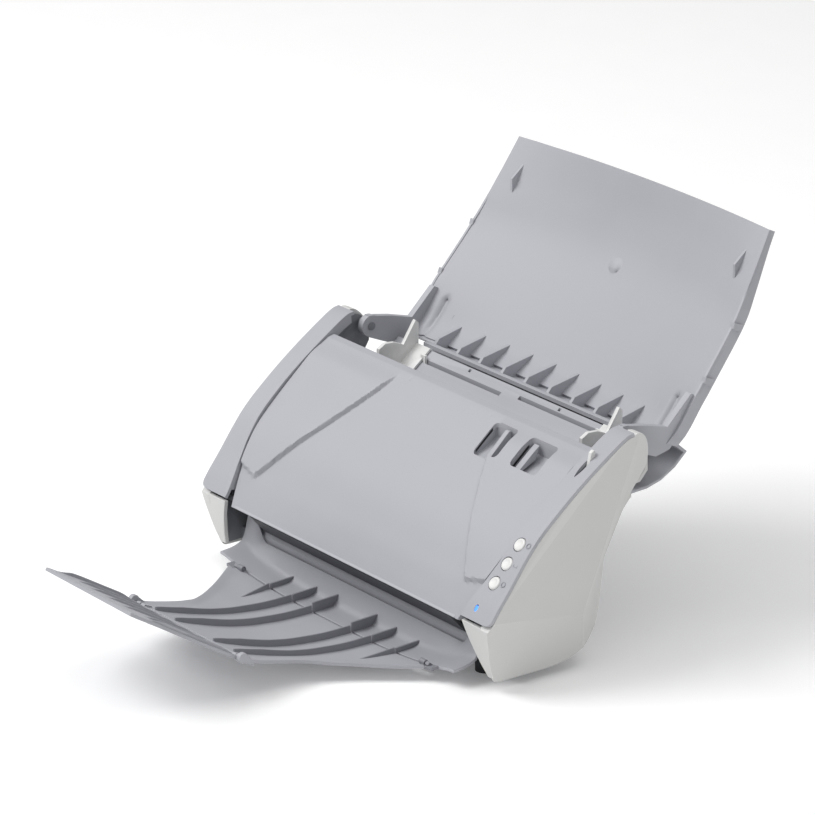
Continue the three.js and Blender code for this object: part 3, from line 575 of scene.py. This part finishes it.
def slice_off(bm, point, normal):
    """Cut away what lies beyond a plane and close the cut."""
    cut = bmesh.ops.bisect_plane(bm, geom=bm.verts[:] + bm.edges[:] + bm.faces[:], plane_co=point,
                                 plane_no=normal, clear_outer=True)
    bmesh.ops.holes_fill(bm, edges=[e for e in cut["geom_cut"] if isinstance(e, bmesh.types.BMEdge)])


def side_shell(sign):
    """Outer shell of a side cover and its slanted front wall."""
    belly = smooth_line([(-48, 3), (-46, 0.6), (-40, 0.1), (-20, 0), (-2, 0.1),
                         (8, 1.2), (19, 4.5), (30, 11), (36, 19), (39.2, 28)], 2)
    back = smooth_line([(55, 97), (64, 109), (74, 118), (79, 123.5), (80.5, 129),
                        (79.6, 137), (76, 145), (70, 150.6), (65, 152)], 2)
    top = offset_line(STRIP, -2.9)
    front = smooth_line([(-59, 41), (-56.6, 30), (-52.1, 14), (-48, 3)], 2)
    outline = belly[:-1] + [(39.4, 30), (39.4, 70)] + back + top[::-1] + front[:-1]
    cover_bm = prism_x(outline, *span(sign, 152.3, 161.9))
    for at, normal in FACETS:
        point = place(at[0] * sign, at[1], at[2])
        slice_off(cover_bm, point, Vector((normal[0] * sign, normal[1], normal[2])))
    outer = smooth_line([(-59, 42), (-56.6, 30), (-52.1, 14), (-48, 3)], 2)
    inner = [(-45.4, 4), (-49.2, 15.5), (-53.6, 30), (-55.8, 42)]
    front_wall = prism_x(outer + inner, *span(sign, 133, 153))
    slice_off(front_wall, place(133 * sign, 0, 42), Vector((-39 * sign, 0, -15)))
    return cover_bm, front_wall


for sign, word in ((1, "right"), (-1, "left")):
    shell, wall = side_shell(sign)
    add_piece(f"side_cover_{word}_shell", shell, "base", "pale_plastic", bevel=1.1, segments=3,
              replaces=[f"side_cover_{word}"], angle=9)
    add_piece(f"side_cover_{word}_front", wall, "base", "pale_plastic", bevel=0.5)

# ---- strips and controls ---------------------------------------------------------------------
BUTTON_YZ = [(-23.9, 91.3), (-33, 79.5), (-42.1, 67.7)]
BUTTON_X = [150, 148.3, 146.6]
OUT_DIR = (-0.74, 0.67)         # off the strip, y z
ALONG_DIR = (0.67, 0.74)        # up the strip, y z
STRIP_CORNER = 7.0
# half width of the opening cover against the distance from its hinge
COVER_REACH = [(0, 131.5), (9.2, 131.5), (10.4, 132.1), (24.4, 137),
               (40.7, 140.6), (58.7, 142.6), (90, 143.7)]


def strip_inner(y, z):
    """Inner edge of a strip, clear of the cover in every position."""
    rho = math.hypot(y - COVER_PIVOT[0], z - COVER_PIVOT[1])
    return max(lerp_table(EDGE_LINE, y), lerp_table(COVER_REACH, rho)) + 0.6


def strip_grid(sign):
    """The strip on one side: rounded at its low outer corner."""
    rows = []
    total = len(STRIP) - 1
    for i, (y, z) in enumerate(STRIP):
        a = strip_inner(y, z)
        inset = STRIP_CORNER - min(STRIP_CORNER, i * 1.5)
        b = 162 - (STRIP_CORNER - math.sqrt(max(0, STRIP_CORNER ** 2 - inset ** 2))) * 0.9
        row = []
        for j in range(13):
            x = a + (b - a) * j / 12
            row.append((sign * x, y, z))
        rows.append(row if sign > 0 else row[::-1])

    def deep(i, j):
        """Thicker along the inner edge, where the strip turns down beside the cover."""
        inner = j <= 1 if sign > 0 else j >= 11
        return 8.0 if inner and 5 < i < total - 3 else 2.6

    return plate(rows, deep)


# openings in the right strip: three buttons, the selector's slot, the light
right = strip_grid(1)
holes = [pin_dir(5.15, x, at, OUT_DIR, 12, 8) for x, at in zip(BUTTON_X, BUTTON_YZ)]
lens_slot = []
for k in range(25):
    t = k / 24
    lens_slot.append((20 + 18 * t, 2.0 * math.sin(math.pi * t) ** 0.7))
ring = [(151.5 + w, y) for y, w in lens_slot] + [(151.5 - w, y) for y, w in lens_slot[::-1]][1:-1]
holes.append(loft([[(x, y, 110) for x, y in ring], [(x, y, 165) for x, y in ring]]))
light = []
for dy, dz in ((6, -5), (-6, 5)):
    turns = [k * math.pi / 10 for k in range(20)]
    light.append([(143 + 1.5 * math.cos(t), -54 + dy + 2.2 * math.sin(t), 52 + dz + 1.6 * math.sin(t))
                  for t in turns])
holes.append(loft(light))
add_piece("control_panel_shell", carve(right, holes), "base", "grey_plastic", bevel=0.7,
          replaces=["control_panel"], segments=3, angle=38)
add_piece("trim_strip_left_shell", strip_grid(-1), "base", "grey_plastic", bevel=0.7,
          replaces=["trim_strip_left"], segments=3, angle=38)

# dark discs under the buttons: painted shade seen through the gap round each cap
WELL_DEPTH = 6.4
shade_discs = []
for x, (y, z) in zip(BUTTON_X, BUTTON_YZ):
    at = (y - OUT_DIR[0] * WELL_DEPTH, z - OUT_DIR[1] * WELL_DEPTH)
    shade_discs.append(pin_dir(6.0, x, at, OUT_DIR, 1.0, 0.0))
add_piece("button_shade_discs", merged(*shade_discs), "base", "dark_plastic", bevel=0.0)

# radius and height of a cap, from its foot to its hollow middle
CAP = ((4.7, -3.2), (4.7, -0.3), (4.5, 0.3), (3.9, 0.7), (3.1, 0.82), (2.6, 0.6), (1.5, 0.52), (0.4, 0.5))
for i, name in enumerate(("button_stop", "button_mode", "button_start")):
    y, z = BUTTON_YZ[i]
    u = Vector((1, 0, 0))
    v = Vector((0, *ALONG_DIR))
    turns = [2 * math.pi * k / 40 for k in range(40)]
    rows = []
    for r, h in CAP:
        c = Vector((BUTTON_X[i], y + OUT_DIR[0] * h, z + OUT_DIR[1] * h))
        rows.append([tuple(c + u * r * math.cos(a) + v * r * math.sin(a)) for a in turns])
    add_piece(name + "_cap", loft(rows), BODY[name], "white_plastic", bevel=0.0, replaces=[name], angle=60)


def loop_on_strip(name, x, y, z, points, width=0.5):
    """A fine raised outline lying on the strip."""
    u = Vector((1, 0, 0))
    v = Vector((0, *ALONG_DIR))
    n = Vector((0, *OUT_DIR))
    bm = bmesh.new()
    count = len(points)
    rings = []
    for k, (a, b) in enumerate(points):
        length = math.hypot(a, b)
        for grow in (0, -width):
            f = (length + grow) / length
            for h in (-0.25, 0.05):
                p = Vector((x, y, z)) + u * a * f + v * b * f + n * h
                rings.append(bm.verts.new(place(*p)))
    for k in range(count):
        a, b = 4 * k, 4 * ((k + 1) % count)
        for p, q in ((0, 1), (1, 3), (3, 2), (2, 0)):
            bm.faces.new((rings[a + p], rings[a + q], rings[b + q], rings[b + p]))
    return add_piece(name, bm, "base", "grey_plastic", material=MARK, bevel=0.0)


circle = [(2.0 * math.cos(k * math.pi / 16), 2.0 * math.sin(k * math.pi / 16)) for k in range(32)]
square = [(-2, -1.6), (0, -1.6), (2, -1.6), (2, 0), (2, 1.6), (0, 1.6), (-2, 1.6), (-2, 0)]
for i, shape in enumerate((circle, square, circle)):
    # beside its button, just clear of the strip
    y, z = BUTTON_YZ[i]
    y, z = y + ALONG_DIR[0] * 1.5 - 0.3, z + ALONG_DIR[1] * 1.5 + 0.27
    loop_on_strip(f"panel_mark_{i + 1}", BUTTON_X[i] + 8.2, y, z, shape, 0.55)

# selector lever with a finger hollow at its back
LEVER = [(30.8, 128), (36.4, 132), (37.2, 143.4), (35.6, 144.2), (33.4, 142.6), (30.8, 131)]
lever = carve(prism_x(LEVER, 150.0, 153.0), [pin_x(2.2, 149, 154, 33.2, 146.4)])
add_piece("feed_selector_lever", lever, "feed_selector", "white_plastic", bevel=0.5,
          replaces=["feed_selector"])

# ---- output side ---------------------------------------------------------------------------------
# folding tray: y and height of its middle, rise of its side edges, half width
FLOOR = smooth_line([(-66.3, -2.6), (-82, -2.4), (-93, -1.8), (-106, -0.4), (-118, 1.2), (-130, 3.6),
                     (-138, 5.6), (-150, 9.2), (-160, 12.6), (-172, 17), (-180.6, 20.7)], 2)
RISE = smooth_line([(66, 6.8), (82, 6.2), (106, 5.6), (118, 5), (130, 4.4),
                    (138, 4), (150, 3), (160, 2), (172, 0.8), (181, 0.2)], 2)
TRAY_EDGE = smooth_line([(65, 117.4), (70, 112), (82, 103), (106, 84),
                         (130, 68), (140, 65), (150, 63.8), (184, 63.4)], 2)


def output_sheet():
    """The folding tray's sheet, dished, with raised side edges."""
    rows = []
    for y, z in FLOOR:
        half = lerp_table(TRAY_EDGE, -y)
        rise = lerp_table(RISE, -y)
        row = []
        for j in range(81):
            u = -1 + 2 * j / 80
            lift = rise * abs(u) ** 3 + 0.9 * step01((abs(u) - 0.9) / 0.1)
            row.append((u * half, y, z + lift))
        rows.append(row[::-1])
    return plate(rows, 2.2)


def rib_wall(x0, x1, y0, y1, heights, sink=1.2, thick=1.1):
    """A curved rib standing on the output tray from y0 back to y1."""
    rows = []
    count = 40
    for k in range(count + 1):
        t = k / count
        y = y0 + (y1 - y0) * t
        x = x0 + (x1 - x0) * t
        z = lerp_table(FLOOR[::-1], y)
        h = lerp_table(heights, t)
        crest = thick * 0.55
        rows.append([(x - thick, y, z - sink), (x + thick, y, z - sink),
                     (x + crest, y, z + h), (x - crest, y, z + h)])
    return loft(rows)


PIN_R = 1.15
BORE_R = 1.35
KNUCKLE_R = 2.1
RIB_START = -66.6
# x at the start and at the end, y of the end, heights along the way
TRAY_RIBS = [(71, 66, -104, [(0, 5.6), (0.5, 3.4), (1, 0.3)]),
             (45, 45, -179, [(0, 5.6), (0.8, 5.0), (0.96, 3.4), (1, 2.4)]),
             (22, 22, -179, [(0, 5.2), (0.8, 4.8), (0.96, 3.2), (1, 2.2)])]
ribs = []
for s in (-1, 1):
    for x_start, x_end, y_end, heights in TRAY_RIBS:
        ribs.append(rib_wall(s * x_start, s * x_end, RIB_START, y_end, heights))
knuckles = []
for s in (-1, 1):
    # the hinge knuckles go with the ribs and take their painted shade
    knuckle = pin_x(KNUCKLE_R, *span(s, 100.1, 105.9), *OUT_PIVOT)
    ribs.append(carve(knuckle, [pin_x(BORE_R, *span(s, 99, 107), *OUT_PIVOT)]))
    lug = prism_x([(-178, 17.4), (-178, 20.8), (-183.6, 23.5), (-185.7, 21.3), (-183.6, 19.2)],
                  *span(s, 50, 54.4))
    knuckles.append(carve(lug, [pin_x(BORE_R, *span(s, 49, 55), *EXT_PIVOT)]))
    # rounded end of the side rim and the web that carries it
    knuckles.append(pin_x(3.5, *span(s, 60.6, 64.2), -184.6, 23.4))
    web = [(-176, 15.8), (-176, 19.6), (-183, 26.4), (-187, 21.4), (-183, 19.4)]
    knuckles.append(prism_x(web, *span(s, 60.8, 63.6)))
notches = [prism_x([(-72, -6), (-60, -6), (-60, 12), (-72, 12)], *span(s, 106.2, 119)) for s in (-1, 1)]
add_piece("output_tray_sheet", carve(output_sheet(), notches), "output_tray", "grey_plastic", bevel=0.4,
          replaces=["output_tray"])
add_piece("output_tray_knuckles", merged(*knuckles), "output_tray", "grey_plastic", bevel=0.3)
# ribs and knuckles in the darker grey, painted shade
add_piece("output_tray_ribs", merged(*ribs), "output_tray", "grey_plastic", material=RIB_PAINTED_SHADE, bevel=0.3)


def wing(x):
    """How far the fixed floor has turned up at a distance x from the middle."""
    return min(1.0, abs(x) / 127.5) ** 3


def output_back():
    """Fixed floor and back wall with the curled side wings."""
    rows = []
    for j in range(89):
        x = -132 + 3 * j
        far = wing(x)
        tall = step01((abs(x) - 110) / 14)
        line = smooth_line([(-64.4, -2.6 + 9.0 * far), (-54, -2.5 + 9.9 * far), (-47.6, -1.2 + 10.8 * far),
                            (-44.2, 4.0 + 9.0 * far), (-39.8 - 0.2 * tall, 13.4 + 15 * tall)], 1.6)
        line = [line[round(k * (len(line) - 1) / 12)] for k in range(13)]
        rows.append([(x, y, z) for y, z in line])
    return plate(rows, -2.2)


# fixed ends of the ribs, pointed where they meet the back wall
wall_ribs = []
for x, top in ((-71, 2.4), (-45, 2.9), (-22, 4.4), (22, 4.4), (45, 2.9), (71, 2.4)):
    outline = [(-46.4, -2.4), (-41.6, top + 1.4), (-44, top + 0.5), (-65.6, top), (-65.6, -2.8), (-64, -3.2)]
    wall_ribs.append(prism_x(outline, x - 0.8, x + 0.8))
arms = []
for s in (-1, 1):
    ear = []
    for x in (106.6, 109, 112, 116):
        z = -2.6 + 9.0 * wing(x)
        ear.append([(s * x, -63, z - 2.2), (s * x, -63, z), (s * x, -70.3, z), (s * x, -70.3, z - 2.0)])
    arms.append(loft(ear))
    arms.append(prism_x([(-63, -2), (-63, 2), (-66.8, 5.6), (-68.6, 3.7), (-66, -1)], *span(s, 106.6, 109.9)))
    arms.append(pin_x(PIN_R, *span(s, 100.3, 107), *OUT_PIVOT))
add_piece("output_floor_shell", output_back(), "base", "grey_plastic", bevel=0.5, replaces=["output_floor"])
# wall ribs and arms in the darker grey, painted shade
add_piece("output_floor_ribs", merged(*wall_ribs), "base", "grey_plastic", material=RIB_PAINTED_SHADE, bevel=0.25)
add_piece("output_floor_arms", merged(*arms), "base", "grey_plastic", material=RIB_PAINTED_SHADE, bevel=0.25)

EXT = smooth_line([(-183.2, 22), (-200, 32.2), (-215, 41.5), (-240, 57), (-262, 70.2)], 3)
EXT_EDGE = [(183, 59.6), (224, 59.8), (232, 58), (240, 54.6), (250, 52.8), (258, 51.6), (262, 49)]
rows = []
for y, z in EXT:
    half = lerp_table(EXT_EDGE, -y)
    rows.append([((1 - 2 * j / 24) * half, y, z) for j in range(25)])
room = [prism_x([(-187, 10), (-180, 10), (-180, 30), (-187, 30)], *span(s, 49.5, 54.9)) for s in (-1, 1)]
add_piece("tray_extension_sheet", carve(plate(rows, 2.2), room), "tray_extension", "grey_plastic", bevel=0.45,
          replaces=["tray_extension"])
# x, y of both ends, height
EXT_RIBS = [(-57.4, -186.5, -252, 1.9), (57.4, -186.5, -252, 1.9), (-38, -190, -246, 1.3),
            (38, -190, -246, 1.3), (-19, -190, -250, 1.3), (19, -190, -250, 1.3), (0, -190, -250, 1.3)]
parts = []
for x, y0, y1, h in EXT_RIBS:
    rows = []
    for k in range(21):
        y = y0 + (y1 - y0) * k / 20
        z = lerp_table(EXT[::-1], y)
        a = h * step01(min(k, 20 - k) / 4)
        low_side = 3.0 if abs(x) > 50 else 1.0
        nx = x
        if abs(x) > 50 and y < -228:
            # the outer ribs follow the edge inward
            nx = math.copysign(abs(x) - (abs(x) - 51.6) * step01((-y - 228) / 20), x)
        foot = (y + 0.4, z - low_side)
        crest = (y + a * 0.52, z + a)
        rows.append([(nx - 0.8, *foot), (nx + 0.8, *foot), (nx + 0.6, *crest), (nx - 0.6, *crest)])
    parts.append(loft(rows))
for s in (-1, 1):
    parts.append(pin_x(KNUCKLE_R, *span(s, 55.1, 58.9), *EXT_PIVOT))
    parts.append(pin_x(PIN_R, *span(s, 49.1, 56), *EXT_PIVOT))
add_piece("tray_extension_ribs", merged(*parts), "tray_extension", "grey_plastic", bevel=0.25)

# ---- rounded shells straight from the frame ------------------------------------
for node in ("rear_cover", "tray_skirt", "inner_cover", "lower_guide", "cover_latch",
             "page_guide_left", "page_guide_right"):
    refine(node)
refine("chassis", material=SHADE)
